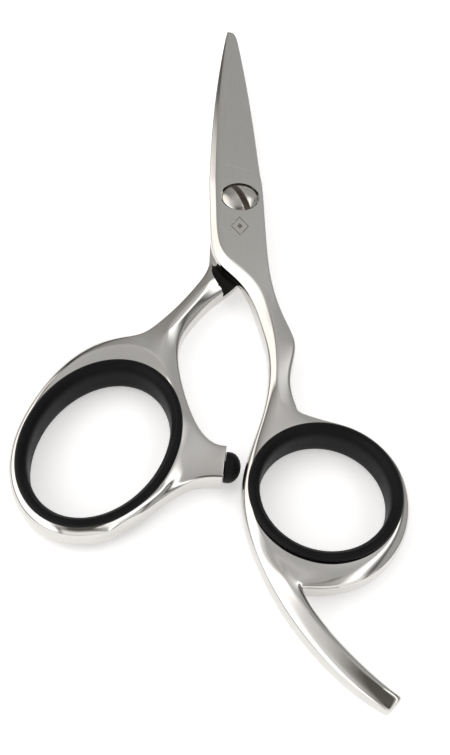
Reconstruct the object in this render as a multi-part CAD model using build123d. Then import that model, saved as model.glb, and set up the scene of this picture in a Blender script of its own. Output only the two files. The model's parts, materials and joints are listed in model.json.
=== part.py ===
from build123d import *

import math
import os

os.makedirs("parts", exist_ok=True)

# Hair cutting shears, closed. Millimetres. The origin is on the pivot axis, in the plane that
# the shears lie on. +Y runs along the blades to the tip, +Z rises to the screw head.

# ---- driving dimensions --------------------------------------------------------------------
MATE_Z = 3.4                # height of the plane where the two blades meet
SLIP = 0.03                 # each blade stands this far off that plane
BLADE_THICK = 3.0           # each blade at the pivot
TIP_THICK = 1.2             # each blade at its tip
TIP_Y = 57.6                # tip of the upper blade
TAPER_Y = 8.0               # the blades thin from here to the tip
HEEL_TOP_Y = -15.0          # from here back they drop to the shanks
HEEL_Y = -25.5
HEEL_THICK = 1.6
SPINE_CHAMFER = 0.8

HANDLE_THICK = 5.0          # rings and shanks
RIM_ROUND = 1.3
CORNER_SHARE = 0.36         # a limb's corner radius as a share of its thinner side

PIVOT_R = 1.8               # plain part of the screw's shank
THREAD_R = 1.5
RUN_CLEAR = 0.05            # radial running clearance
HEAD_R = 3.5
HEAD_EDGE = 0.5             # straight wall of the head below its dome
HEAD_DOME = 1.1
SEAT_DEPTH = 1.0            # the head's counterbore
SEAT_R = 3.8
SLOT_WIDTH = 1.1
SLOT_DEPTH = 1.0
SLOT_TURN = -66.0           # the slot's direction from +X, degrees
BUSH_R = 2.5
FRICTION_WASHER_R = 3.3
FRICTION_WASHER_THICK = 0.3
GLIDE_R = 4.3
GLIDE_THICK = 0.4
NUT_R = 2.5
NUT_FLANGE_R = 3.7
NUT_FLANGE_THICK = 1.0
NUT_END = 0.5               # the nut's closed outer end

RING_BAND = 2.35            # metal from an insert's seat to the outside
FLANGE_LAP = 1.05           # an insert's flanges lap the metal by this
INSERT_WALL = 0.95          # rubber between the hole and the metal
FLANGE_THICK = 0.9

FINGER_CENTRE = (11.1, -63.9)
FINGER_HOLE_R = 10.05
THUMB_CENTRE = (-23.8, -55.3)
THUMB_HOLE = (13.95, 10.3)  # half the oval's length and width
THUMB_TURN = 67.0           # the oval's long axis from +X, degrees

BUMPER_R = 2.5
BUMPER_OUT = 2.55
BUMPER_STEM_R = 1.0
BUMPER_STEM = 3.0
BUMPER_SEAT = (-4.2, -58.7)
BUMPER_TURN = -8.0          # the bumper's axis from +X, degrees

# ---- heights that follow from them ---------------------------------------------------------
FINGER_LOW = MATE_Z + SLIP
FACE_Z = MATE_Z + BLADE_THICK
THUMB_TOP = MATE_Z - SLIP
BACK_Z = MATE_Z - BLADE_THICK
SEAT_Z = FACE_Z - SEAT_DEPTH
HEAD_Z = SEAT_Z + FRICTION_WASHER_THICK + SLIP
GLIDE_LOW = MATE_Z
REST_Z = MATE_Z - HANDLE_THICK / 2 - FLANGE_THICK


def prism(outline, low, high):
    """A closed outline in plan, raised from one height to another."""
    return extrude(Plane.XY.offset(low) * make_face(outline.edges()), high - low)


def disc(radius, low, high):
    """A round disc on the pivot axis."""
    return Pos(0, 0, low) * Cylinder(radius, high - low, align=(Align.CENTER, Align.CENTER, Align.MIN))


def limb(stations):
    """A rounded bar through a row of stations, each (x, y, width, thickness)."""
    path = Spline(*[(x, y) for x, y, _, _ in stations])
    sections = []
    for x, y, width, thick in stations:
        along = path.tangent_at(path.param_at_point((x, y, 0)))
        plane = Plane(origin=(x, y, MATE_Z), x_dir=Vector(-along.Y, along.X, 0), z_dir=along)
        sections.append(plane * RectangleRounded(width, thick, CORNER_SHARE * min(width, thick)))
    return loft(sections)


def side_view(mate, outside):
    """A block, wider than a blade, with the blade's thickness as it is seen from the side.

    mate is the height of the inner face and outside is +1 for the upper blade, -1 for the lower.
    """
    half_width = 20.0
    end_y = TIP_Y + 1
    face, tip, heel = (mate + outside * thick for thick in (BLADE_THICK, TIP_THICK, HEEL_THICK))
    corners = [(HEEL_Y, mate), (end_y, mate), (end_y, tip), (TAPER_Y, face), (HEEL_TOP_Y, face), (HEEL_Y, heel)]
    return extrude(Plane.YZ * make_face(Polyline(*corners, close=True).edges()), half_width, both=True)


# ---- the still half ------------------------------------------------------------------------

def finger_blade():
    """The upper blade and its heel, with its cutting edge on +X and its spine on -X."""
    spine = Line((-5.9, -15.5), (-5.9, 2)) + ThreePointArc((-5.9, 2), (-4.75, 26), (-0.9, TIP_Y))
    tip = ThreePointArc((-0.9, TIP_Y), (0.5, 57.2), (1.3, 55.9))
    edge = ThreePointArc((1.3, 55.9), (3.4, 28), (4.35, 5.2)) + Line((4.35, 5.2), (4.7, 4.6))
    right = Line((4.7, 4.6), (4.7, -15)) + Spline((4.7, -15), (4.9, -20), (5.6, -25))
    heel = Polyline((5.6, -25), (2.0, -25), (-0.2, -21.3), (-5.9, -15.5))
    flat = prism(spine + tip + edge + right + heel, FINGER_LOW, FACE_Z)
    blade = flat & side_view(FINGER_LOW, 1)
    return blade - spine_cut(FACE_Z)


def spine_cut(face_z):
    """Bevels the straight run of the upper blade's spine beside the pivot."""
    size = SPINE_CHAMFER
    corners = [(-5.9, face_z - size), (-5.9 + size, face_z), (-5.9, face_z + size), (-5.9 - size, face_z)]
    bevel = make_face(Polyline(*corners, close=True).edges())
    return Pos(0, TAPER_Y, 0) * extrude(Plane.XZ * bevel, TAPER_Y + 24)


def finger_shank():
    """From under the pivot, past the finger bump and down the ring's left side to the tang's end."""
    return limb([
        (2.4, -19.5, 4.2, 4.6),
        (3.5, -24.8, 4.5, 4.8),
        (4.9, -30.0, 5.1, 5.0),
        (6.1, -35.0, 5.3, 5.0),
        (5.5, -40.2, 4.0, 5.0),
        (4.9, -45.5, 3.6, 5.0),
        (3.7, -50.9, 4.2, 5.0),
        (1.6, -56.5, 4.2, 4.8),
        (0.0, -62.5, 4.2, 4.4),
        (0.1, -68.3, 4.0, 4.2),
        (1.5, -74.0, 4.0, 4.2),
        (4.0, -79.5, 4.2, 4.2),
        (7.2, -84.9, 4.3, 4.2),
        (11.0, -89.8, 4.3, 4.0),
        (15.0, -93.7, 4.0, 3.9),
        (18.6, -96.4, 3.5, 3.6),
    ])


def waist_web():
    """Fills the corner between the shank and the top of the finger ring."""
    return limb([
        (5.6, -43.0, 2.6, 4.4),
        (5.8, -47.5, 4.6, 4.6),
        (6.2, -52.0, 8.4, 4.8),
        (6.6, -56.5, 11.0, 4.6),
    ])


def ring_shoulder():
    """The heavier metal under the finger ring, which joins the tang."""
    return limb([
        (3.4, -75.6, 4.6, 4.4),
        (8.6, -77.4, 4.8, 4.8),
        (14.2, -76.6, 4.4, 4.8),
        (19.0, -73.7, 3.8, 4.6),
        (22.2, -69.2, 2.8, 4.4),
        (23.1, -64.0, 2.0, 4.2),
    ])


def finger_half():
    """Upper blade, shank, finger ring and tang in one forging."""
    seat_r = FINGER_HOLE_R + INSERT_WALL
    ring = Pos(*FINGER_CENTRE, MATE_Z) * Cylinder(seat_r + RING_BAND, HANDLE_THICK)
    ring = fillet(ring.edges(), RIM_ROUND)
    body = finger_shank() + waist_web() + ring + ring_shoulder() + finger_blade()
    body -= Pos(*FINGER_CENTRE, MATE_Z) * Cylinder(seat_r, 2 * HANDLE_THICK)
    body -= disc(BUSH_R, BACK_Z, FACE_Z + 1)
    body -= disc(SEAT_R, SEAT_Z, FACE_Z + 1)
    body -= disc(GLIDE_R, BACK_Z, GLIDE_LOW + GLIDE_THICK)
    return body


# ---- the moving half -----------------------------------------------------------------------

def thumb_blade():
    """The lower blade, hidden under the upper one while the shears are closed."""
    spine = Line((4.4, -11.5), (4.4, 3)) + ThreePointArc((4.4, 3), (3.2, 27), (0.9, 55.4))
    tip = ThreePointArc((0.9, 55.4), (0.3, 56.5), (-0.7, 56.6))
    edge = ThreePointArc((-0.7, 56.6), (-4.4, 26), (-5.4, 5.2)) + Line((-5.4, 5.2), (-5.8, 4.6))
    left = Line((-5.8, 4.6), (-5.8, -15)) + Spline((-5.8, -15), (-6.2, -18), (-7.6, -21))
    heel = Polyline((-7.6, -21), (-4.6, -23.4), (-1.2, -20.9), (4.4, -11.5))
    flat = prism(spine + tip + edge + left + heel, BACK_Z, THUMB_TOP)
    return flat & side_view(THUMB_TOP, -1)


def thumb_shank():
    """From the pivot's shoulder down to the thumb ring."""
    bar = limb([
        (-4.6, -17.6, 4.4, 4.6),
        (-6.7, -22.0, 4.5, 4.8),
        (-9.6, -26.4, 4.1, 5.0),
        (-12.4, -30.6, 4.4, 5.0),
        (-15.0, -35.2, 7.6, 5.0),
        (-17.2, -40.0, 10.0, 4.8),
    ])
    shoulder = ThreePointArc((-5.4, -14.5), (-5.6, -19.2), (-3.4, -23.6))
    recess = Polyline((-3.4, -23.6), (3, -23.6), (3, -14.5), (-5.4, -14.5))
    return bar - prism(shoulder + recess, THUMB_TOP, FACE_Z + 1)


def thumb_crown():
    """The heavier metal over the top of the thumb ring."""
    return limb([
        (-14.4, -36.4, 6.0, 4.8),
        (-19.6, -36.2, 6.0, 5.0),
        (-25.0, -37.1, 5.0, 5.0),
        (-29.8, -40.3, 4.4, 5.0),
        (-33.6, -45.0, 3.6, 4.8),
        (-36.0, -50.6, 2.6, 4.4),
        (-36.8, -57.0, 1.6, 4.2),
    ])


def thumb_side():
    """The metal between the shank and the spur, down the inner side of the thumb ring."""
    return limb([
        (-14.8, -34.0, 5.0, 4.8),
        (-14.4, -39.0, 4.4, 4.8),
        (-13.2, -43.8, 4.6, 4.8),
        (-11.8, -48.6, 4.8, 4.8),
        (-9.8, -53.4, 5.2, 4.6),
        (-7.4, -57.8, 5.0, 4.4),
    ])


def spur():
    """The arm that carries the bumper."""
    return limb([
        (-13.2, -57.2, 16.0, 4.4),
        (-10.2, -57.7, 10.4, 4.6),
        (-7.2, -58.2, 7.2, 4.9),
        (-3.4, -58.8, 6.6, 5.1),
    ])


def oval(grow, low, high):
    """An oval plate about the thumb ring's centre, larger than the hole by a margin."""
    half_long, half_wide = THUMB_HOLE
    plan = Pos(*THUMB_CENTRE, low) * Rot(0, 0, THUMB_TURN) * Ellipse(half_long + grow, half_wide + grow)
    return extrude(plan, high - low)


def thumb_half():
    """Lower blade, shank, thumb ring and spur in one forging."""
    low = MATE_Z - HANDLE_THICK / 2
    ring = oval(INSERT_WALL + RING_BAND, low, low + HANDLE_THICK)
    ring = fillet(ring.edges(), RIM_ROUND)
    body = thumb_shank() + thumb_crown() + thumb_side() + spur() + ring + thumb_blade()
    body -= oval(INSERT_WALL, low - 1, low + HANDLE_THICK + 1)
    body -= disc(NUT_R, BACK_Z - 1, FACE_Z)
    body -= disc(NUT_FLANGE_R, REST_Z, REST_Z + NUT_FLANGE_THICK)
    body -= bumper_axis() * Box(*3 * (HANDLE_THICK + BUMPER_R,), align=(Align.CENTER, Align.CENTER, Align.MIN))
    body -= bumper_axis() * Cylinder(BUMPER_STEM_R, 2 * BUMPER_STEM)
    return body


# ---- pivot ---------------------------------------------------------------------------------

def pivot_screw():
    """Domed slotted screw: plain where the finger half turns on it, thinner in its thread."""
    dome_r = (HEAD_R ** 2 + HEAD_DOME ** 2) / (2 * HEAD_DOME)
    rim_z = HEAD_Z + HEAD_EDGE
    dome = Pos(0, 0, rim_z + HEAD_DOME - dome_r) * Sphere(dome_r) & disc(HEAD_R, rim_z, rim_z + HEAD_DOME)
    body = disc(THREAD_R, REST_Z + NUT_END + 2 * SLIP, THUMB_TOP) + disc(PIVOT_R, THUMB_TOP, HEAD_Z)
    body += disc(HEAD_R, HEAD_Z, rim_z) + dome
    slot_z = rim_z + HEAD_DOME
    return body - Pos(0, 0, slot_z) * Rot(0, 0, SLOT_TURN) * Box(3 * HEAD_R, SLOT_WIDTH, 2 * SLOT_DEPTH)


def ring_disc(outer_r, inner_r, low, high):
    """A flat or tubular ring on the pivot axis."""
    return disc(outer_r, low, high) - disc(inner_r, low - 1, high + 1)


def pivot_nut():
    """Flanged blind nut, let into the back of the thumb half."""
    flange_top = REST_Z + NUT_FLANGE_THICK
    body = disc(NUT_FLANGE_R, REST_Z, flange_top) + disc(NUT_R, flange_top, THUMB_TOP)
    return body - disc(THREAD_R + RUN_CLEAR, REST_Z + NUT_END, FACE_Z)


# ---- rubber --------------------------------------------------------------------------------

def finger_insert():
    """Round flanged sleeve in the finger ring."""
    low = MATE_Z - HANDLE_THICK / 2
    neck_r = FINGER_HOLE_R + INSERT_WALL
    height = HANDLE_THICK + 2 * FLANGE_THICK
    centre = Pos(*FINGER_CENTRE, MATE_Z)
    body = centre * Cylinder(neck_r, height)
    for flange_z in (low - FLANGE_THICK / 2, low + HANDLE_THICK + FLANGE_THICK / 2):
        body += Pos(*FINGER_CENTRE, flange_z) * Cylinder(neck_r + FLANGE_LAP, FLANGE_THICK)
    return body - centre * Cylinder(FINGER_HOLE_R, 2 * height)


def thumb_insert():
    """Oval flanged sleeve in the thumb ring."""
    low = MATE_Z - HANDLE_THICK / 2
    high = low + HANDLE_THICK
    lip = INSERT_WALL + FLANGE_LAP
    body = oval(INSERT_WALL, low - FLANGE_THICK, high + FLANGE_THICK)
    body += oval(lip, low - FLANGE_THICK, low)
    body += oval(lip, high, high + FLANGE_THICK)
    return body - oval(0, low - 2, high + 2)


def bumper_axis():
    """Local frame on the spur's end: its Z axis points out of the spur."""
    turn = math.radians(BUMPER_TURN)
    return Plane(origin=(*BUMPER_SEAT, MATE_Z), x_dir=(0, 0, 1), z_dir=(math.cos(turn), math.sin(turn), 0))


def bumper():
    """Rubber dome with a stem pushed into the spur."""
    wall = BUMPER_OUT - 1.4
    dome = 1.4
    dome_r = (BUMPER_R ** 2 + dome ** 2) / (2 * dome)
    up = (Align.CENTER, Align.CENTER, Align.MIN)
    cap = Pos(0, 0, BUMPER_OUT - dome_r) * Sphere(dome_r) & Pos(0, 0, wall) * Cylinder(BUMPER_R, dome, align=up)
    body = Cylinder(BUMPER_R, wall, align=up) + cap
    body += Pos(0, 0, -BUMPER_STEM) * Cylinder(BUMPER_STEM_R, BUMPER_STEM, align=up)
    return bumper_axis() * body


NODES = {
    "finger_half": finger_half(),
    "thumb_half": thumb_half(),
    "pivot_screw": pivot_screw(),
    "friction_washer": ring_disc(FRICTION_WASHER_R, PIVOT_R + RUN_CLEAR, SEAT_Z, SEAT_Z + FRICTION_WASHER_THICK),
    "pivot_bushing": ring_disc(BUSH_R, PIVOT_R + RUN_CLEAR, GLIDE_LOW + SLIP, SEAT_Z),
    "glide_washer": ring_disc(GLIDE_R, BUSH_R, GLIDE_LOW, GLIDE_LOW + GLIDE_THICK),
    "pivot_nut": pivot_nut(),
    "finger_insert": finger_insert(),
    "thumb_insert": thumb_insert(),
    "bumper": bumper(),
}

for name, solid in NODES.items():
    export_step(solid, f"parts/{name}.step")
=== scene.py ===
import json
from math import cos, hypot, pi, radians, sin

import bmesh
import bpy
from mathutils import Matrix, Vector


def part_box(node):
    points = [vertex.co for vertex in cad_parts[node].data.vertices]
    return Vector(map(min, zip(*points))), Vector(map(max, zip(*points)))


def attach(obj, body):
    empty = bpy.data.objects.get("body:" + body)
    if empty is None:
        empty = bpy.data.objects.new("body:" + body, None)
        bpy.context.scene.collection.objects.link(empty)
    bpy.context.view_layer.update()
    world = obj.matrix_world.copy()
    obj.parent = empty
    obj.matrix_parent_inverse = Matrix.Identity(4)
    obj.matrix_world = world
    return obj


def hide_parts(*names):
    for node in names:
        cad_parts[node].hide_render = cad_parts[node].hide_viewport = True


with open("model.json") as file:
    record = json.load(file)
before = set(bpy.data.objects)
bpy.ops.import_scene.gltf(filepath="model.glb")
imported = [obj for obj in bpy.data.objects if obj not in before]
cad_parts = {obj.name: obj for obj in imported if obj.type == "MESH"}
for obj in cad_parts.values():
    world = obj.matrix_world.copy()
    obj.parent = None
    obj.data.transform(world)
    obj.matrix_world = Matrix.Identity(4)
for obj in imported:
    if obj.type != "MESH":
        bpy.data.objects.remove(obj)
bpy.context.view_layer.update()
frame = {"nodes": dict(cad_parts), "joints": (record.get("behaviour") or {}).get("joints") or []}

MM = 0.001
mate_z = frame["joints"][0]["pos_m"][2] / MM          # the plane in which the blades meet

# ---- camera ----------------------------------------------------------------------------------
# A hand-held view from above the handles, turned a little to the left of the blades and rolled.
EYE = Vector((-13.48, -130.43, 126.95)) * MM
VIEW_AZIMUTH = radians(-6.24)
VIEW_ELEVATION = radians(54.0)
VIEW_ROLL = radians(6.0)
LENS_PER_HEIGHT = 1.19205          # focal length over the frame's height
SENSOR = 36.0

bpy.ops.object.camera_add()
camera = bpy.context.object
camera.name = "camera"
back = Vector((
    sin(VIEW_AZIMUTH) * cos(VIEW_ELEVATION),
    -cos(VIEW_AZIMUTH) * cos(VIEW_ELEVATION),
    sin(VIEW_ELEVATION),
))
right = Vector((cos(VIEW_AZIMUTH), sin(VIEW_AZIMUTH), 0))
up = back.cross(right)
turned_right = right * cos(VIEW_ROLL) + up * sin(VIEW_ROLL)
turned_up = up * cos(VIEW_ROLL) - right * sin(VIEW_ROLL)
axes = Matrix((turned_right, turned_up, back)).transposed()
camera.matrix_world = Matrix.Translation(EYE) @ axes.to_4x4()
camera.data.sensor_width = SENSOR
camera.data.lens = LENS_PER_HEIGHT * SENSOR
camera.data.clip_start = 0.01
bpy.context.scene.camera = camera

# ---- floor and light -------------------------------------------------------------------------
# A white table top under a large soft light, with a few darker cards round it: polished steel
# shows what stands round it, so the cards are what draws its dark lines.


class Shade:
    """An output socket of a node tree. Python's arithmetic on it adds Math nodes."""

    def __init__(self, tree, socket):
        self.tree, self.socket = tree, socket

    def node(self, kind, settings=None, inputs=None, output=0):
        """Any other node: its settings first, then the values or links of its sockets."""
        made = self.tree.nodes.new("ShaderNode" + kind)
        for name, value in (settings or {}).items():
            if name == "stops":
                ramp = made.color_ramp.elements
                while len(ramp) < len(value):
                    ramp.new(0.5)
                for stop, (place, grey) in zip(ramp, value):
                    stop.position = place
                    stop.color = (grey, grey, grey, 1)
            else:
                setattr(made, name, value)
        for name, value in (inputs or {}).items():
            if isinstance(value, Shade):
                self.tree.links.new(value.socket, made.inputs[name])
            else:
                made.inputs[name].default_value = value
        return Shade(self.tree, made.outputs[output])

    def maths(self, operation, first, second=0.0, clamp=False):
        return self.node("Math", {"operation": operation, "use_clamp": clamp}, {0: first, 1: second})

    def __add__(self, other):
        return self.maths("ADD", self, other)

    def __radd__(self, other):
        return self.maths("ADD", other, self)

    def __sub__(self, other):
        return self.maths("SUBTRACT", self, other)

    def __rsub__(self, other):
        return self.maths("SUBTRACT", other, self)

    def __mul__(self, other):
        return self.maths("MULTIPLY", self, other)

    def __rmul__(self, other):
        return self.maths("MULTIPLY", other, self)

    def __truediv__(self, other):
        return self.maths("DIVIDE", self, other)

    def clamped(self):
        return self.maths("ADD", self, 0.0, clamp=True)

    def part(self, axis):
        """X, Y or Z of a vector."""
        return self.node("SeparateXYZ", None, {0: self}, "XYZ".index(axis))


bpy.ops.mesh.primitive_plane_add(size=6, location=(0, 0, -0.0003))
floor = bpy.context.object
floor.name = "floor"
table_top = bpy.data.materials.new("white_table")
table_top.use_nodes = True
table_sockets = table_top.node_tree.nodes["Principled BSDF"].inputs
table_sockets["Base Color"].default_value = (0.92, 0.92, 0.92, 1)
table_sockets["Roughness"].default_value = 0.9
table_sockets["Emission Color"].default_value = (1.0, 0.99, 0.985, 1)
table_sockets["Emission Strength"].default_value = 0.36
floor.data.materials.append(table_top)

world = bpy.data.worlds.new("studio")
world.use_nodes = True
toward = Shade(world.node_tree, world.node_tree.nodes.new("ShaderNodeTexCoord").outputs["Generated"])
height = toward.part("Z")
side = toward.part("X")
front = toward.part("Y")
walls = height.node("ValToRGB", {"stops": [
    (0.0, 0.35), (0.05, 0.05), (0.12, 0.45), (0.35, 0.50),
    (0.6, 0.5), (0.78, 0.66), (0.86, 0.74), (1.0, 0.55),
]}, {0: height})
window = ((-0.45 - side) * 8).clamped() * ((height - 0.12) * 10).clamped()
window = window * ((0.88 - height) * 8).clamped()
window_frame = ((side + 0.5) * 12).clamped() * ((-0.36 - side) * 12).clamped()
window_frame = window_frame * ((0.7 - height) * 8).clamped()
lamp = ((side - 0.34) * 8).clamped() * ((0.66 - side) * 10).clamped()
lamp = lamp * ((height - 0.45) * 7).clamped() * ((0.62 - front) * 5).clamped()
left_light = ((-0.25 - side) * 5).clamped() * ((height - 0.72) * 7).clamped()
left_light = left_light * ((0.4 - front) * 4).clamped()
lamp_edge = ((side - 0.66) * 12).clamped() * ((0.82 - side) * 12).clamped()
left_shade = ((0.05 - side) * 2.5).clamped() * ((front - 0.2) * 4).clamped()
front_light = ((-0.45 - front) * 5).clamped() * ((0.62 - height) * 6).clamped()
dark_card = ((-0.12 - front) * 8).clamped() * ((height - 0.55) * 8).clamped()
dark_card = dark_card * ((0.3 - side) * 6).clamped() * ((side + 0.4) * 6).clamped()
bright = walls * (1 - 0.25 * left_shade) + 1.3 * window + 1.4 * lamp + 0.25 * left_light + 0.7 * front_light
bright = bright * (1 - 0.8 * window_frame) * (1 - 0.8 * lamp_edge) * (1 - 0.8 * dark_card)
warm = bright.node("Mix", {"data_type": "RGBA"}, {
    0: (dark_card + 0.5 * left_shade).clamped(), 6: (1.0, 0.99, 0.98, 1), 7: (1.0, 0.95, 0.87, 1)}, output=2)
glow = warm.node("VectorMath", {"operation": "SCALE"}, {0: warm, "Scale": bright})
world.node_tree.links.new(glow.socket, world.node_tree.nodes["Background"].inputs["Color"])
world.node_tree.nodes["Background"].inputs["Strength"].default_value = 1.0
bpy.context.scene.world = world
bpy.context.scene.view_settings.view_transform = "Standard"

bpy.ops.object.light_add(type="AREA", location=(-0.25, 0.15, 0.9))
softbox = bpy.context.object
softbox.name = "softbox"
softbox.rotation_euler = (radians(-9), radians(-15), 0)
softbox.data.size = 0.9
softbox.data.energy = 1.9
softbox.visible_glossy = False      # it lights the table, and the room above is what the steel shows


# ---- finger half -----------------------------------------------------------------------------
# Blade, shank, finger ring and curved tang, hot-forged in one piece from hardened stainless
# steel. The blade's faces are ground flat, its back edge and heel are bevelled, and everything
# behind the heel is rounded on belts and mirror polished.
BLADE_THICK = 3.0
TIP_THICK = 1.2
TAPER_Y = 8.0                      # the blades thin from here to the tip
TAPER_END = 58.6
SLIP = 0.03                        # each blade's distance from the plane in which they meet
HANDLE_TOP = mate_z + 2.5
RIM_ROUND = 0.8                    # rounding of a handle's long edges
RIDGE_CREASE = 0.9                 # how crisp the ground ridges stay, of 1
SMOOTH_ANGLE = radians(16)         # edges sharper than this stay sharp in the shading
SAME_PLACE = 0.01                  # points nearer than this are one point
FLAT = 0.985                       # how upright the normal of a ground face is
SCREW_BORE_R = 2.5                 # for the bushing above and the nut's barrel below
HEAD_BORE_R = 3.8                  # the counterbore for the screw's head
FLANGE_BORE_R = 3.7                # the counterbore for the nut's flange
cutter_top = mate_z + 5            # higher than either forging


def clear_selection():
    """Leaves edit mode and deselects every object."""
    if bpy.context.object and bpy.context.object.mode == "EDIT":
        bpy.ops.object.mode_set(mode="OBJECT")
    bpy.ops.object.select_all(action="DESELECT")


def start_loop(name, places):
    """A wire loop through places, made from a circle, left open in edit mode."""
    clear_selection()
    bpy.ops.mesh.primitive_circle_add(vertices=len(places), radius=MM, fill_type="NOTHING")
    piece = bpy.context.object
    piece.name = piece.data.name = name
    for vertex, place in zip(piece.data.vertices, places):
        vertex.co = Vector(place) * MM
    bpy.ops.object.mode_set(mode="EDIT")
    bpy.ops.mesh.select_mode(type="VERT")
    return [Vector(place) for place in places]


def pick(points):
    """Selects the vertices that stand at these points, and the edges between them."""
    mesh = bmesh.from_edit_mesh(bpy.context.object.data)
    bpy.ops.mesh.select_all(action="DESELECT")
    for point in points:
        min(mesh.verts, key=lambda v: (v.co - Vector(point) * MM).length).select_set(True)
    mesh.select_flush(True)
    bmesh.update_edit_mesh(bpy.context.object.data)


def pull(row, places):
    """Extrudes the edges along a row of points and puts the new row at its places."""
    pick(row)
    bpy.ops.mesh.extrude_edges_move()
    mesh = bmesh.from_edit_mesh(bpy.context.object.data)
    new = [v for v in mesh.verts if v.select]
    moves = [(min(new, key=lambda v: (v.co - Vector(old) * MM).length), place)
             for old, place in zip(row, places)]
    for vertex, place in moves:
        vertex.co = Vector(place) * MM
    bmesh.update_edit_mesh(bpy.context.object.data)
    return [Vector(place) for place in places]


def thicken(lower):
    """Extrudes the whole sheet and drops the new layer: lower(x, y, z) gives its points' heights."""
    bpy.ops.mesh.select_all(action="SELECT")
    bpy.ops.mesh.extrude_region_move()
    mesh = bmesh.from_edit_mesh(bpy.context.object.data)
    for vertex in [v for v in mesh.verts if v.select]:
        x, y, z = vertex.co / MM
        vertex.co = Vector((x, y, lower(x, y, z))) * MM
    bmesh.update_edit_mesh(bpy.context.object.data)
    bpy.ops.mesh.select_all(action="SELECT")
    bpy.ops.mesh.normals_make_consistent(inside=False)


def between(first, second, share):
    """The point at a share of the way from one point to another."""
    return Vector(first).lerp(Vector(second), share)


def blade_face(y, rise):
    """Height of a blade's outer face at y: flat at the pivot, thinning to the tip. rise is +1 or -1."""
    thin = max(0.0, y - TAPER_Y) / (TAPER_END - TAPER_Y)
    return mate_z + rise * (BLADE_THICK - (BLADE_THICK - TIP_THICK) * thin)


def weigh_edges(rounding, line, rise):
    """Gives the sharp edges their share of the bevel, rounding(middle), and keeps a ridge line crisp.

    The line's points are in plan, on the side of the meeting plane that rise gives.
    """
    mesh = bmesh.from_edit_mesh(bpy.context.object.data)
    layers = mesh.edges.layers.float
    weight = layers.get("bevel_weight_edge") or layers.new("bevel_weight_edge")
    crease = layers.get("crease_edge") or layers.new("crease_edge")
    for edge in mesh.edges:
        ends = [v.co / MM for v in edge.verts]
        on_line = all(
            (p.z - mate_z) * rise > 0.5 and any(hypot(p.x - x, p.y - y) < SAME_PLACE for x, y in line)
            for p in ends)
        if on_line:
            edge[crease] = RIDGE_CREASE
        elif edge.calc_face_angle() > radians(50):
            edge[weight] = rounding((ends[0] + ends[1]) / 2)
    bmesh.update_edit_mesh(bpy.context.object.data)


def add_modifier(piece, kind, name, **settings):
    """Adds a modifier to the active piece and applies it."""
    modifier = piece.modifiers.new(name, kind)
    for setting, value in settings.items():
        setattr(modifier, setting, value)
    bpy.context.view_layer.objects.active = piece
    bpy.ops.object.modifier_apply(modifier=name)


def cut(piece, cutter):
    """Cuts one solid out of another and deletes the cutter."""
    add_modifier(piece, "BOOLEAN", "cut", object=cutter, operation="DIFFERENCE", solver="EXACT")
    bpy.data.objects.remove(cutter, do_unlink=True)


def drill(piece, centre, radius, low, high):
    """Cuts a round hole from one height to another."""
    clear_selection()
    bpy.ops.mesh.primitive_cylinder_add(
        vertices=96, radius=radius * MM, depth=(high - low) * MM,
        location=Vector((*centre, (low + high) / 2)) * MM)
    bpy.ops.object.transform_apply()
    cut(piece, bpy.context.object)


FINGER_SEAT = 11.0
SEAT_DROP = 0.15                   # a seat's rim below the handle's top face
low_corner, high_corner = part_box("finger_insert")
finger_centre = (low_corner + high_corner) / 2 / MM
ring_points = 20
turns = [2 * pi * i / ring_points for i in range(ring_points)]
seat = [
    (finger_centre.x + FINGER_SEAT * cos(t), finger_centre.y + FINGER_SEAT * sin(t), HANDLE_TOP - SEAT_DROP)
    for t in turns]
outside = [
    (24.4, -63.9, 5.5), (23.8, -59.8, 5.5), (21.9, -56.1, 5.5), (19.0, -53.1, 5.5), (15.2, -51.2, 5.5),
    (11.6, -50.4, 5.5), (8.2, -48.9, 5.4), (4.9, -49.2, 5.9), (1.9, -50.2, 5.2), (-0.6, -57.0, 5.2),
    (-2.1, -63.0, 5.2), (-1.7, -69.0, 5.2), (0.2, -75.6, 4.95), (3.2, -77.3, 5.9), (6.5, -79.6, 5.5),
    (10.8, -79.9, 5.0), (15.3, -78.9, 5.0), (19.5, -76.2, 5.0), (22.6, -72.3, 5.1), (24.1, -68.1, 5.3),
]
ridge_share = [0.4, 0.4, 0.4, 0.4, 0.4, 0.45, 0.4, 0.35, 0.35, 0.4,
               0.45, 0.45, 0.45, 0.55, 0.55, 0.6, 0.55, 0.5, 0.45, 0.4]
ridge_height = [5.95, 5.95, 5.95, 5.95, 5.95, 5.95, 5.8, 5.8, 5.8, 5.9,
                5.9, 5.85, 5.7, 5.4, 5.2, 5.8, 6.0, 6.0, 6.0, 5.95]
ridge = [(*between(s, o, share).xy, z) for s, o, share, z in zip(seat, outside, ridge_share, ridge_height)]

start_loop("finger_forging", seat)
pick(seat)
row = pull(seat, ridge)
row = pull(row, outside)
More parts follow.
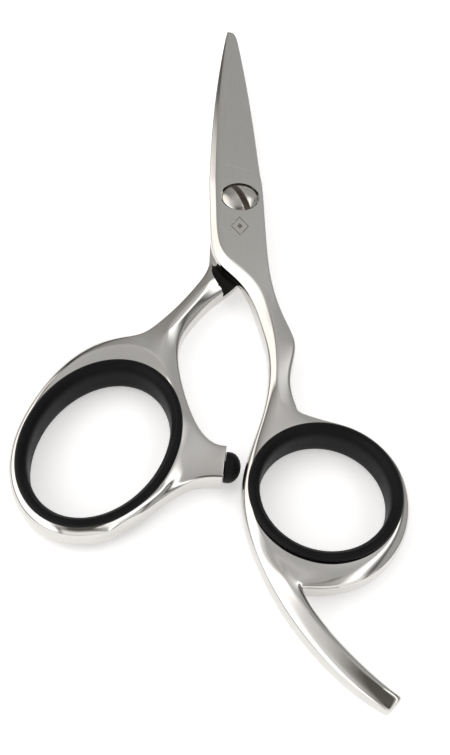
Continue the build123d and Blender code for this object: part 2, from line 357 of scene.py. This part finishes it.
# the shank, from the ring up to the blade's tip: right edge, ridge, left edge
ridge_line = [place[:2] for place in ridge[9:14] + [outside[7], outside[13]]]
row = [Vector(outside[i]) for i in (6, 7, 8)]
for places in (
    [(7.0, -44.0, 5.4), (4.7, -44.6, 5.95), (3.1, -45.2, 5.2)],
    [(7.9, -39.2, 5.4), (5.0, -39.6, 6.0), (3.6, -40.2, 5.1)],
    [(9.2, -34.6, 5.2), (5.1, -34.6, 6.0), (3.5, -35.4, 5.1)],
    [(7.4, -30.2, 5.4), (4.7, -30.0, 6.05), (2.7, -31.2, 5.1)],
    [(5.9, -25.5, 5.9), (3.6, -24.8, 6.25), (1.65, -26.2, 5.1)],
    [(5.1, -21.0, 6.3), (1.6, -20.7, 6.4), (0.0, -22.0, 5.15)],
    [(4.75, -16.0, 6.4), (-1.9, -16.8, 6.4), (-3.0, -18.4, 5.25)],
    [(4.7, -10.5, 6.4), (-4.6, -13.0, 6.4), (-5.9, -15.2, 5.45)],
    [(4.7, -4.0, 6.4), (-4.55, -4.0, 6.4), (-5.9, -4.0, 5.6)],
    [(4.7, 4.6, 6.4), (-4.55, 4.6, 6.4), (-5.9, 4.6, 5.6)],
    [(4.35, 5.3, 6.4), (-4.55, 5.3, 6.4), (-5.88, 5.3, 5.6)],
    [(3.9, 18.0, 6.04), (-4.1, 18.0, 6.04), (-5.3, 18.0, 5.3)],
    [(3.16, 32.0, 5.55), (-3.25, 32.0, 5.55), (-4.22, 32.0, 4.95)],
    [(2.24, 45.0, 5.08), (-2.05, 45.0, 5.08), (-2.75, 45.0, 4.65)],
    [(1.48, 54.0, 4.76), (-1.15, 54.3, 4.76), (-1.47, 54.5, 4.45)],
    [(1.0, 56.5, 4.66), (0.0, 57.1, 4.66), (-0.9, 57.5, 4.40)],
):
    row = pull(row, places)
    ridge_line.append(places[1][:2])
# the tang, from the ring to its blunt end: left edge, ridge, right edge
row = [Vector(outside[i]) for i in (12, 13, 14)]
for places in (
    [(2.6, -81.2, 4.9), (5.8, -82.0, 5.9), (7.5, -82.2, 5.5)],
    [(5.4, -85.9, 4.85), (8.3, -85.6, 5.85), (9.6, -85.3, 5.4)],
    [(8.9, -90.5, 4.8), (11.5, -89.5, 5.75), (12.6, -88.9, 5.3)],
    [(13.1, -94.5, 4.75), (15.2, -93.2, 5.6), (16.2, -92.6, 5.2)],
    [(17.0, -97.2, 4.6), (18.5, -95.7, 5.4), (19.3, -95.1, 5.1)],
):
    row = pull(row, places)
    ridge_line.append(places[1][:2])


def under_finger(x, y, z):
    """The blade rests on the meeting plane, and the handle is the same below as above."""
    return mate_z + SLIP if y > -23.5 else 2 * mate_z - z


def finger_rounding(place):
    """Share of the full rounding: small on the ground blade, full on the handle."""
    if place.y < -13:
        return min(1.0, 0.1 + 0.9 * (-13 - place.y) / 14)
    if place.x > 1.0 and place.z > mate_z + 0.5:
        return 0.6 if place.y < TAPER_Y else 0.5
    return 0.1


def new_material(name, colour, roughness, metallic, **constants):
    """A material and the Shade of its object coordinates in millimetres; constants go on its sockets."""
    material = bpy.data.materials.new(name)
    material.use_nodes = True
    tree = material.node_tree
    surface = tree.nodes["Principled BSDF"]
    for socket, value in {"Base Color": (*colour, 1), "Roughness": roughness, "Metallic": metallic}.items():
        surface.inputs[socket].default_value = value
    for socket, value in constants.items():
        surface.inputs[socket.replace("_", " ")].default_value = value
    place = Shade(tree, tree.nodes.new("ShaderNodeTexCoord").outputs["Object"])
    return material, surface, place.node("VectorMath", {"operation": "SCALE"}, {0: place, "Scale": 1 / MM})


def noise(place, scale, stretch=(1, 1, 1), detail=3.0):
    """Noise in millimetres, stretched along the axes, as a value about 0.5."""
    stretched = place.node("Mapping", None, {"Vector": place, "Scale": stretch})
    return place.node("TexNoise", None, {"Vector": stretched, "Scale": scale, "Detail": detail})


def feed(surface, socket, value):
    """Links a Shade to one of the surface's sockets."""
    value.tree.links.new(value.socket, surface.inputs[socket])


def tint(value, dark, light):
    """A colour between two, by a value."""
    return value.node("Mix", {"data_type": "RGBA"}, {0: value, 6: (*dark, 1), 7: (*light, 1)}, output=2)


def bump(value, height, strength=1.0):
    """A normal from a height in millimetres."""
    return value.node("Bump", None, {"Height": value, "Distance": height * MM, "Strength": strength})


def step(value, edge, softness):
    """0 below an edge and 1 above it, over a short slope."""
    return ((value - edge) / softness + 0.5).clamped()


def band(value, centre, half_width, softness):
    """1 within a band about a value, 0 outside."""
    return 1 - step(value.maths("ABSOLUTE", value - centre), half_width, softness)


def steel(name):
    """Belt-polished stainless steel: near mirror, with faint waves, wipe marks and hairlines."""
    material, surface, place = new_material(name, (0.62, 0.61, 0.59), 0.08, 1.0)
    wipe = noise(place, 0.25, (1.0, 0.35, 1.0))
    hair = noise(place, 2.2, (6.0, 0.35, 1.0), 2.0)
    worn = step(hair, 0.66, 0.1)
    feed(surface, "Base Color", tint((wipe * 0.8 + 0.1).clamped(), (0.585, 0.57, 0.555), (0.66, 0.65, 0.63)))
    feed(surface, "Roughness", 0.045 + 0.05 * wipe + 0.05 * worn)
    feed(surface, "Normal", bump(wipe * 0.6 + hair * 0.02, 0.012))
    return material


def ground_steel(name):
    """The blade's ground flat: satin, finely lined along the grind, with a plain etched lozenge and a
    painted highlight line across it where the taper begins.
    """
    material, surface, place = new_material(name, (0.6, 0.59, 0.57), 0.3, 1.0)
    x, y, z = (place.part(axis) for axis in "XYZ")
    lines = noise(place, 1.6, (1.2, 0.12, 1.0), 4.0)
    cloud = noise(place, 0.16)
    mirror = step(-1 * y, 23.0, 6.0)
    # painted highlight: a thin light line across the flat where the blade starts to thin
    painted_highlight_line = band(y + 0.3 * x, 8.4, 0.07, 0.12) * band(x, -0.2, 2.6, 1.2)
    grey = (0.25 + 0.3 * lines + 0.4 * cloud).clamped()
    across, along = x.maths("ABSOLUTE", x + 0.3), y.maths("ABSOLUTE", y + 8.0)
    diamond = across / 1.7 + along / 2.5
    lozenge = (band(diamond, 0.95, 0.07, 0.05) + 1 - step(diamond, 0.32, 0.06)).clamped()
    etched = lozenge * step(lines, 0.36, 0.2) * step(z, mate_z + 2, 0.1)
    base = tint(grey, (0.52, 0.515, 0.49), (0.62, 0.615, 0.59))
    for share, colour in [(etched * 0.9, (0.10, 0.085, 0.065, 1)), (painted_highlight_line * 0.4, (0.9, 0.9, 0.88, 1))]:
        base = base.node("Mix", {"data_type": "RGBA"}, {0: share, 6: base, 7: colour}, output=2)
    feed(surface, "Base Color", base)
    rough = (0.24 + 0.1 * lines) * (1 - mirror) + 0.07 * mirror + 0.3 * etched
    feed(surface, "Roughness", rough.clamped())
    feed(surface, "Metallic", 1 - 0.7 * etched)
    feed(surface, "Normal", bump(lines * 0.35 - etched + cloud * 0.3 * mirror, 0.012))
    return material


polished_steel = steel("polished_steel")
satin_steel = ground_steel("ground_steel")


def finish_forging(piece, is_flat):
    """Polished all over, with the ground finish on the faces where is_flat(centre, normal)."""
    piece.data.materials.append(polished_steel)
    piece.data.materials.append(satin_steel)
    for face in piece.data.polygons:
        face.material_index = 1 if is_flat(face.center / MM, face.normal) else 0


thicken(under_finger)
weigh_edges(finger_rounding, ridge_line, 1)
bpy.ops.object.mode_set(mode="OBJECT")
finger_forging = bpy.context.object
add_modifier(finger_forging, "BEVEL", "rims", limit_method="WEIGHT", width=RIM_ROUND * MM,
             segments=2, profile=0.55, use_clamp_overlap=False)
add_modifier(finger_forging, "SUBSURF", "polish", levels=3, render_levels=3)
drill(finger_forging, (0, 0), HEAD_BORE_R, mate_z + 2.0, cutter_top)
drill(finger_forging, (0, 0), SCREW_BORE_R, mate_z - 1, cutter_top)
clear_selection()
finger_forging.select_set(True)
bpy.ops.object.shade_smooth_by_angle(angle=SMOOTH_ANGLE)
finish_forging(finger_forging, lambda centre, normal: normal.z > FLAT and centre.y > -27
               and centre.z > blade_face(centre.y, 1) - 0.35)
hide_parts("finger_half")
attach(finger_forging, "finger_side")


# ---- thumb half ------------------------------------------------------------------------------
# The other forging: a lower blade that mirrors the upper one, a shank with a half-round recess
# milled into its shoulder, the oval thumb ring under its heavier crown, and the bumper's spur.
THUMB_HALF_AXES = (14.9, 11.25)     # the ring's seat, along and across the oval
THUMB_TURN = radians(67)
low_corner, high_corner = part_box("thumb_insert")
thumb_centre = (low_corner + high_corner) / 2 / MM


def oval_place(turn, grow, z):
    """A point on the thumb ring's oval, moved outwards by grow."""
    along, across = (THUMB_HALF_AXES[0] + grow) * cos(turn), (THUMB_HALF_AXES[1] + grow) * sin(turn)
    return (thumb_centre.x + along * cos(THUMB_TURN) - across * sin(THUMB_TURN),
            thumb_centre.y + along * sin(THUMB_TURN) + across * cos(THUMB_TURN), z)


CROWN_DROP = 0.45                   # the seat's rim below the top face, where the crown is dished
thumb_seat = [oval_place(t, 0, HANDLE_TOP - (CROWN_DROP if i < 5 or i > 16 else SEAT_DROP))
              for i, t in enumerate(turns)]
thumb_outside = [
    (-17.8, -33.3, 5.2), (-21.5, -33.6, 5.2), (-26.2, -35.3, 5.2), (-30.6, -39.0, 5.2), (-33.9, -44.2, 5.3),
    (-36.4, -49.9, 5.4), (-37.8, -55.2, 5.4), (-37.9, -60.4, 5.4), (-36.6, -65.1, 5.3), (-34.1, -68.8, 5.2),
    (-30.5, -71.2, 5.1), (-26.3, -72.1, 5.0), (-21.9, -71.2, 5.0), (-16.2, -67.4, 5.0), (-11.0, -62.8, 5.1),
    (-8.9, -58.2, 5.45), (-8.3, -52.6, 5.3), (-10.6, -45.5, 5.3), (-11.8, -38.5, 5.3), (-14.2, -34.8, 5.95),
]
crown_ridge = [
    (-17.6, -36.8, 6.3), (-21.3, -36.4, 6.3), (-25.6, -37.6, 6.2), (-29.7, -40.6, 6.1), (-33.0, -45.3, 6.0),
]
side_ridge = [(-14.9, -39.4, 6.1), (-12.9, -43.4, 6.0), (-11.4, -48.8, 6.0), (-10.9, -54.2, 6.0),
              (-12.1, -59.4, 5.9), (-14.2, -64.0, 6.0)]
far_ridge = [(*between(thumb_seat[i], thumb_outside[i], 0.42).xy, 5.98) for i in range(5, 14)]
thumb_ridge = crown_ridge + far_ridge + side_ridge[::-1]

start_loop("thumb_forging", thumb_seat)
row = pull(thumb_seat, thumb_ridge)
row = pull(row, thumb_outside)
# the shank and the lower blade, up to its tip: right edge, ridge, left edge
row = [Vector(thumb_outside[i]) for i in (18, 19, 0)]
spine, spine_line, shank_line = [], [], []
for places in (
    [(-11.3, -33.5, 4.8), (-13.0, -32.0, 6.1), (-14.8, -29.9, 5.0)],
    [(-8.4, -28.7, 4.8), (-10.2, -27.8, 6.1), (-11.9, -26.4, 5.0)],
    [(-5.4, -24.6, 4.8), (-7.2, -23.4, 6.1), (-8.9, -22.0, 5.0)],
    [(-0.9, -20.8, 5.0), (-4.8, -19.7, 5.9), (-6.4, -18.3, 5.2)],
    [(2.2, -15.0, 5.3), (-1.0, -14.8, 5.9), (-5.95, -14.4, 5.2)],
    [(4.4, -11.0, 3.7), (3.4, -10.2, 3.7), (-5.8, -10.0, 3.7)],
    [(4.4, -4.0, 3.7), (3.5, -4.0, 3.7), (-5.8, -4.0, 3.7)],
    [(4.35, 4.5, 3.7), (3.45, 4.5, 3.7), (-5.8, 4.5, 3.7)],
    [(4.3, 5.3, 3.7), (3.4, 5.3, 3.7), (-5.4, 5.3, 3.7)],
    [(3.7, 18.0, 3.7), (2.9, 18.0, 3.7), (-4.93, 18.0, 3.7)],
    [(2.86, 32.0, 3.7), (2.15, 32.0, 3.7), (-3.88, 32.0, 3.7)],
    [(1.85, 45.0, 3.7), (1.3, 45.0, 3.7), (-2.41, 45.0, 3.7)],
    [(1.13, 53.0, 3.7), (0.75, 53.0, 3.7), (-1.35, 53.0, 3.7)],
    [(0.7, 56.2, 3.7), (0.1, 56.4, 3.7), (-0.6, 56.5, 3.7)],
):
    row = pull(row, places)
    if places[0][1] > -12:
        spine.append(places[0][:2])
        spine_line.append(places[1][:2])
    elif places[0][1] < -20:
        shank_line.append(places[1][:2])
# the spur, out to the bumper's seat: lower edge, middle, upper edge
row = [Vector(thumb_outside[i]) for i in (14, 15, 16)]
for places in (
    [(-7.6, -61.7, 5.4), (-6.8, -58.4, 5.5), (-6.1, -55.2, 5.4)],
    [(-4.65, -61.9, 5.6), (-4.25, -58.7, 5.75), (-3.8, -55.7, 5.6)],
):
    row = pull(row, places)


def under_thumb(x, y, z):
    """Below, the blade has its outer face, with the spine bevelled, and the handle is as above."""
    if y < -12:
        return 2 * mate_z - z
    on_spine = any(hypot(x - sx, y - sy) < SAME_PLACE for sx, sy in spine)
    return blade_face(y, -1) + (0.8 * (1 - max(y, 0) / 90) if on_spine else 0)


def thumb_rounding(place):
    """Share of the full rounding: small on the ground blade and at the bumper's seat."""
    if place.y > -13:
        return 0.1
    if place.x > -4.9 and place.y < -50:
        return 0.35
    return min(1.0, 0.1 + 0.9 * (-13 - place.y) / 8)


def block(name, outline, low, high):
    """A solid block with this outline in plan."""
    start_loop(name, [(x, y, low) for x, y in outline])
    bpy.ops.mesh.select_all(action="SELECT")
    bpy.ops.mesh.edge_face_add()
    bpy.ops.mesh.extrude_region_move(TRANSFORM_OT_translate={"value": (0, 0, (high - low) * MM)})
    bpy.ops.mesh.select_all(action="SELECT")
    bpy.ops.mesh.normals_make_consistent(inside=False)
    bpy.ops.object.mode_set(mode="OBJECT")
    return bpy.context.object


def painted_shade_finish(name):
    """Painted shade for the recess: near-black, with faint noise in colour, roughness and bumps, in place of
    the shade that the finger half casts into it.
    """
    material, surface, place = new_material(name, (0.004, 0.004, 0.004), 0.4, 0.0, Specular_IOR_Level=0.1)
    scale = noise(place, 1.5)
    feed(surface, "Base Color", tint(scale, (0.002, 0.002, 0.002), (0.012, 0.011, 0.01)))
    feed(surface, "Roughness", 0.3 + 0.25 * scale)
    feed(surface, "Normal", bump(scale, 0.03))
    return material


# painted shade: the near-black material that darkens the recess
recess_shade_paint = painted_shade_finish("painted_recess_shade")

thicken(under_thumb)
weigh_edges(thumb_rounding, spine_line, -1)
ring_line = [place[:2] for place in side_ridge + crown_ridge + [thumb_outside[19]]]
weigh_edges(thumb_rounding, shank_line + ring_line, 1)
bpy.ops.object.mode_set(mode="OBJECT")
thumb_forging = bpy.context.object
add_modifier(thumb_forging, "BEVEL", "rims", limit_method="WEIGHT", width=RIM_ROUND * MM,
             segments=2, profile=0.55, use_clamp_overlap=False)
add_modifier(thumb_forging, "SUBSURF", "polish", levels=3, render_levels=3)
SHOULDER_CENTRE = (0.2, -18.6)
SHOULDER_R = 5.9
shoulder = [(SHOULDER_CENTRE[0] + SHOULDER_R * cos(radians(angle)),
             SHOULDER_CENTRE[1] + SHOULDER_R * sin(radians(angle))) for angle in range(165, 232, 6)]
open_side = [(-3.2, -24.2), (6, -24.2), (6, -15.6), (-8, -15.6), (-8, -15.9)]
blade_grind = [(-8, -15.61), (6, -15.61), (6, 60), (-8, 60)]
cut(thumb_forging, block("recess", shoulder + open_side, mate_z - SLIP, cutter_top))
cut(thumb_forging, block("blade_grind", blade_grind, mate_z - SLIP, cutter_top))
drill(thumb_forging, (0, 0), SCREW_BORE_R, -1, cutter_top)
drill(thumb_forging, (0, 0), FLANGE_BORE_R, -1, 1.0)
clear_selection()
thumb_forging.select_set(True)
bpy.ops.object.shade_smooth_by_angle(angle=SMOOTH_ANGLE)
finish_forging(thumb_forging, lambda centre, normal: abs(normal.z) > FLAT and centre.y > -15)
# Painted shade: the recess's floor and curved wall take the near-black material.
thumb_forging.data.materials.append(recess_shade_paint)
for face in thumb_forging.data.polygons:
    x, y, z = face.center / MM
    reach = hypot(x - SHOULDER_CENTRE[0], y - SHOULDER_CENTRE[1])
    on_wall = z > mate_z - SLIP and abs(reach - SHOULDER_R) < 0.08
    if y < -15.5 and (on_wall or abs(z - mate_z + SLIP) < SAME_PLACE and face.normal.z > 0.9):
        face.material_index = 2
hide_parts("thumb_half")
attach(thumb_forging, "thumb_side")


# ---- ring inserts ----------------------------------------------------------------------------
# Soft black rubber sleeves that fit the fingers to the rings. Each is moulded with a rounded
# lip on both faces, and is pressed through its ring until the lips spring over the metal.
INSERT_WALL = 0.95
SLEEVE_POINTS = 72
# half of the sleeve's section, from the middle of its bore up over the lip and back to its neck:
# distance outwards from the bore, and height above the middle
sleeve_section = [
    (0.0, 0.0), (0.0, 1.3), (0.06, 2.0), (0.26, 2.6), (0.52, 2.82), (0.7, 2.98), (0.84, 3.2), (1.15, 3.37),
    (1.5, 3.37), (1.84, 3.2), (2.0, 2.9), (2.02, 2.62), (1.9, 2.5), (0.97, 2.42), (0.95, 1.5),
]
whole_section = sleeve_section + [(out, -rise) for out, rise in sleeve_section[:0:-1]]


def sleeve(name, place, node):
    """A lipped sleeve: place(turn, out, z) is a point at a distance outwards from its bore."""
    rows = [[place(2 * pi * i / SLEEVE_POINTS, out, mate_z + rise) for i in range(SLEEVE_POINTS)]
            for out, rise in whole_section]
    row = first = start_loop(name, rows[0])
    for places in rows[1:]:
        row = pull(row, places)
    pick(first + row)
    bpy.ops.mesh.bridge_edge_loops()
    bpy.ops.mesh.select_all(action="SELECT")
    bpy.ops.mesh.normals_make_consistent(inside=False)
    bpy.ops.object.mode_set(mode="OBJECT")
    piece = bpy.context.object
    add_modifier(piece, "SUBSURF", "moulding", levels=1, render_levels=1)
    bpy.ops.object.shade_smooth()
    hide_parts(node)
    return piece


def round_place(turn, out, z):
    """A point round the finger ring's centre."""
    reach = FINGER_SEAT - INSERT_WALL + out
    return (finger_centre.x + reach * cos(turn), finger_centre.y + reach * sin(turn), z)


def rubber(name):
    """Moulded black rubber: nearly dull, finely grained, with a little dust and skin grease."""
    material, surface, place = new_material(name, (0.003, 0.003, 0.003), 0.5, 0.0, Specular_IOR_Level=0.12)
    grain, smear = noise(place, 9.0), noise(place, 0.3)
    dust = step(noise(place, 4.0, detail=1.0), 0.74, 0.04)
    clouded = (smear * 0.6 + dust).clamped()
    feed(surface, "Base Color", tint(clouded, (0.0015, 0.0015, 0.0017), (0.012, 0.012, 0.0125)))
    feed(surface, "Roughness", 0.36 + 0.2 * smear + 0.06 * grain)
    feed(surface, "Normal", bump(grain, 0.02, 0.6))
    return material


black_rubber = rubber("black_rubber")
finger_sleeve = sleeve("finger_sleeve", round_place, "finger_insert")
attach(finger_sleeve, "finger_side")
thumb_sleeve = sleeve(
    "thumb_sleeve", lambda turn, out, z: oval_place(turn, out - INSERT_WALL, z), "thumb_insert")
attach(thumb_sleeve, "thumb_side")
for piece in (finger_sleeve, thumb_sleeve):
    piece.data.materials.append(black_rubber)

# ---- pivot screw -----------------------------------------------------------------------------
# A turned steel screw with a polished domed head and one wide milled slot, let into the upper
# blade. Its plain neck is the pivot, and its thread holds in the nut behind the lower blade.
HEAD_R = 3.5
DOME_RISE = 1.1
NECK_R = 1.8
THREAD_R = 1.5
SLOT_WIDTH = 1.25
SLOT_DEPTH = 1.05
SLOT_TURN = radians(-66)
screw_low, screw_high = (corner.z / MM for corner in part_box("pivot_screw"))
rim_z = screw_high - DOME_RISE
head_z = rim_z - 0.5
dome_r = (HEAD_R ** 2 + DOME_RISE ** 2) / (2 * DOME_RISE)


def circle(radius, z, count=64):
    """Points round the pivot axis."""
    return [(radius * cos(2 * pi * i / count), radius * sin(2 * pi * i / count), z) for i in range(count)]


def dome_height(radius):
    """Height of the domed head at a distance from its middle."""
    return screw_high - dome_r + (dome_r ** 2 - radius ** 2) ** 0.5


row = start_loop("domed_screw", circle(THREAD_R - 0.2, screw_low))
pick(row)
bpy.ops.mesh.edge_face_add()
for radius, z in [
    (THREAD_R, screw_low + 0.2), (THREAD_R, mate_z - SLIP), (NECK_R, mate_z - SLIP), (NECK_R, head_z),
    (HEAD_R - 0.1, head_z), (HEAD_R, head_z + 0.1), (HEAD_R, rim_z - 0.05),
]:
    row = pull(row, circle(radius, z))
for radius in (3.44, 3.2, 2.8, 2.3, 1.8, 1.3, 0.8, 0.35):
    row = pull(row, circle(radius, dome_height(radius)))
pick(row)
bpy.ops.mesh.edge_face_add()
bpy.ops.mesh.select_all(action="SELECT")
bpy.ops.mesh.normals_make_consistent(inside=False)
bpy.ops.object.mode_set(mode="OBJECT")
domed_screw = bpy.context.object
bpy.ops.object.select_all(action="DESELECT")
bpy.ops.mesh.primitive_cube_add(size=1, location=(0, 0, screw_high * MM))
slot_cutter = bpy.context.object
slot_cutter.scale = Vector((3 * HEAD_R, SLOT_WIDTH, 2 * SLOT_DEPTH)) * MM
slot_cutter.rotation_euler.z = SLOT_TURN
bpy.ops.object.transform_apply()
cut(domed_screw, slot_cutter)
add_modifier(domed_screw, "BEVEL", "edges", limit_method="ANGLE", angle_limit=radians(35),
             width=0.07 * MM, segments=2)
clear_selection()
domed_screw.select_set(True)
bpy.ops.object.shade_smooth_by_angle(angle=radians(30))


def screw_finish(name):
    """Satin turned steel, with painted shade in the slot: dark brown there, rougher and less metallic."""
    material, surface, place = new_material(name, (0.6, 0.58, 0.55), 0.2, 1.0)
    x, y, z = (place.part(axis) for axis in "XYZ")
    across = x * -sin(SLOT_TURN) + y * cos(SLOT_TURN)
    in_slot = band(across, 0.0, SLOT_WIDTH / 2 + 0.02, 0.06) * step(z, mate_z + 2.5, 0.05)
    turned = noise(place, 3.0, (1.0, 1.0, 6.0))
    clean = tint(turned, (0.52, 0.50, 0.47), (0.66, 0.64, 0.61))
    # painted shade: the slot's walls and floor are coloured dark brown
    slot_painted_shade = tint(turned, (0.035, 0.026, 0.018), (0.12, 0.095, 0.07))
    colour = clean.node("Mix", {"data_type": "RGBA"}, {0: in_slot, 6: clean, 7: slot_painted_shade}, output=2)
    feed(surface, "Base Color", colour)
    feed(surface, "Roughness", 0.14 + 0.08 * turned + 0.3 * in_slot)
    feed(surface, "Metallic", 1 - 0.6 * in_slot)
    feed(surface, "Normal", bump(turned, 0.01))
    return material


screw_steel = screw_finish("screw_steel")
domed_screw.data.materials.append(screw_steel)
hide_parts("pivot_screw")
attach(domed_screw, "screw")

# ---- bumper ----------------------------------------------------------------------------------
# A small black rubber dome whose stem is pushed into the end of the spur. It meets the finger
# ring when the blades close, and silences them.
BUMPER_SEAT = Vector((-4.2, -58.7, mate_z))
BUMPER_TURN = radians(-8)
BUMPER_R = 2.5
outwards = Vector((cos(BUMPER_TURN), sin(BUMPER_TURN), 0))
sideways = Vector((-sin(BUMPER_TURN), cos(BUMPER_TURN), 0))


def bumper_circle(reach, radius, count=40):
    """Points round the bumper's axis, at a distance out from the spur's end."""
    return [BUMPER_SEAT + outwards * reach + (sideways * cos(2 * pi * i / count)
            + Vector((0, 0, sin(2 * pi * i / count)))) * radius for i in range(count)]


row = start_loop("bumper_dome", bumper_circle(-2.95, 0.8))
pick(row)
bpy.ops.mesh.edge_face_add()
for reach, radius in [(-2.8, 1.0), (0.0, 1.0), (0.0, 2.3), (0.08, 2.46), (0.3, BUMPER_R), (0.95, 2.46),
                      (1.45, 2.25), (1.9, 1.86), (2.22, 1.4), (2.42, 0.9), (2.52, 0.4)]:
    row = pull(row, bumper_circle(reach, radius))
pick(row)
bpy.ops.mesh.edge_face_add()
bpy.ops.mesh.select_all(action="SELECT")
bpy.ops.mesh.normals_make_consistent(inside=False)
bpy.ops.object.mode_set(mode="OBJECT")
bumper_dome = bpy.context.object
clear_selection()
bumper_dome.select_set(True)
bpy.ops.object.shade_smooth_by_angle(angle=radians(50))
bumper_dome.data.materials.append(black_rubber)
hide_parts("bumper")
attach(bumper_dome, "thumb_side")

# ---- bushing, washers and nut ----------------------------------------------------------------
# A turned brass sleeve and two stamped nylon washers run dry inside the pivot, and a blind steel
# nut in the back of the thumb half takes the screw. Only the nut's flange shows.


def plain_finish(name, dark, light, roughness, metallic):
    """A turned or moulded part's finish, with fine rings and a little colour variation."""
    material, surface, place = new_material(name, dark, roughness, metallic)
    marks = noise(place, 2.0, (1.0, 1.0, 5.0))
    feed(surface, "Base Color", tint(marks, dark, light))
    feed(surface, "Roughness", roughness + 0.15 * marks)
    feed(surface, "Normal", bump(marks, 0.01))
    return material


brass = plain_finish("turned_brass", (0.62, 0.43, 0.18), (0.78, 0.58, 0.28), 0.2, 1.0)
nylon = plain_finish("white_nylon", (0.62, 0.60, 0.55), (0.75, 0.73, 0.68), 0.4, 0.0)
plain_parts = {"pivot_bushing": brass, "friction_washer": nylon, "glide_washer": nylon}
for name, node in frame["nodes"].items():
    node.data.materials.clear()
    node.data.materials.append(plain_parts.get(name, screw_steel))
